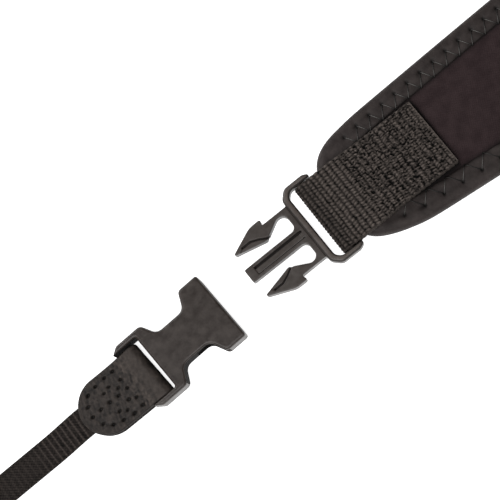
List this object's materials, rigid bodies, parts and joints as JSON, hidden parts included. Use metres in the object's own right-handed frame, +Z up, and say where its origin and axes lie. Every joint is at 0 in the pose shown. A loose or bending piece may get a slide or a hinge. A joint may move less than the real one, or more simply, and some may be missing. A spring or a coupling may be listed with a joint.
{
  "type": "camera neck strap",
  "caption": "Curved padded neck strap with a bound edge, ribbed webbing and side-release buckles, one unfastened, running on to narrow webbing with an eye at each tip.",
  "frame": {"origin": "middle of the bounding box, on the floor the strap lies on", "axes": "+X along the strap from the unfastened end to the fastened end, +Y from the tips' side to the pad's outward-curved side, +Z up off the floor"},
  "size_m": [1.0172, 0.2028, 0.0096],
  "materials": {
    "pad_fabric": "dark brown-grey, fine matt weave over foam",
    "binding_leatherette": "dark grey, smooth and slightly satin",
    "ribbed_webbing": "dark grey, ribbed across",
    "moulded_plastic": "dark warm grey, satin",
    "tab_leather": "dark grey, fine grained",
    "lug_webbing_fabric": "dark grey, fine flat weave"
  },
  "bodies": {
    "root": {"pad_core": "pad_fabric", "pad_binding": "binding_leatherette", "webbing_loop_shown": "ribbed_webbing", "male_buckle_shown": "moulded_plastic", "female_buckle_shown": "moulded_plastic", "leather_tab_shown": "tab_leather", "lug_webbing_shown": "lug_webbing_fabric", "webbing_keeper_shown": "moulded_plastic", "webbing_loop_far": "ribbed_webbing", "male_buckle_far": "moulded_plastic", "female_buckle_far": "moulded_plastic", "leather_tab_far": "tab_leather", "lug_webbing_far": "lug_webbing_fabric", "webbing_keeper_far": "moulded_plastic"}
  },
  "joints": []
}
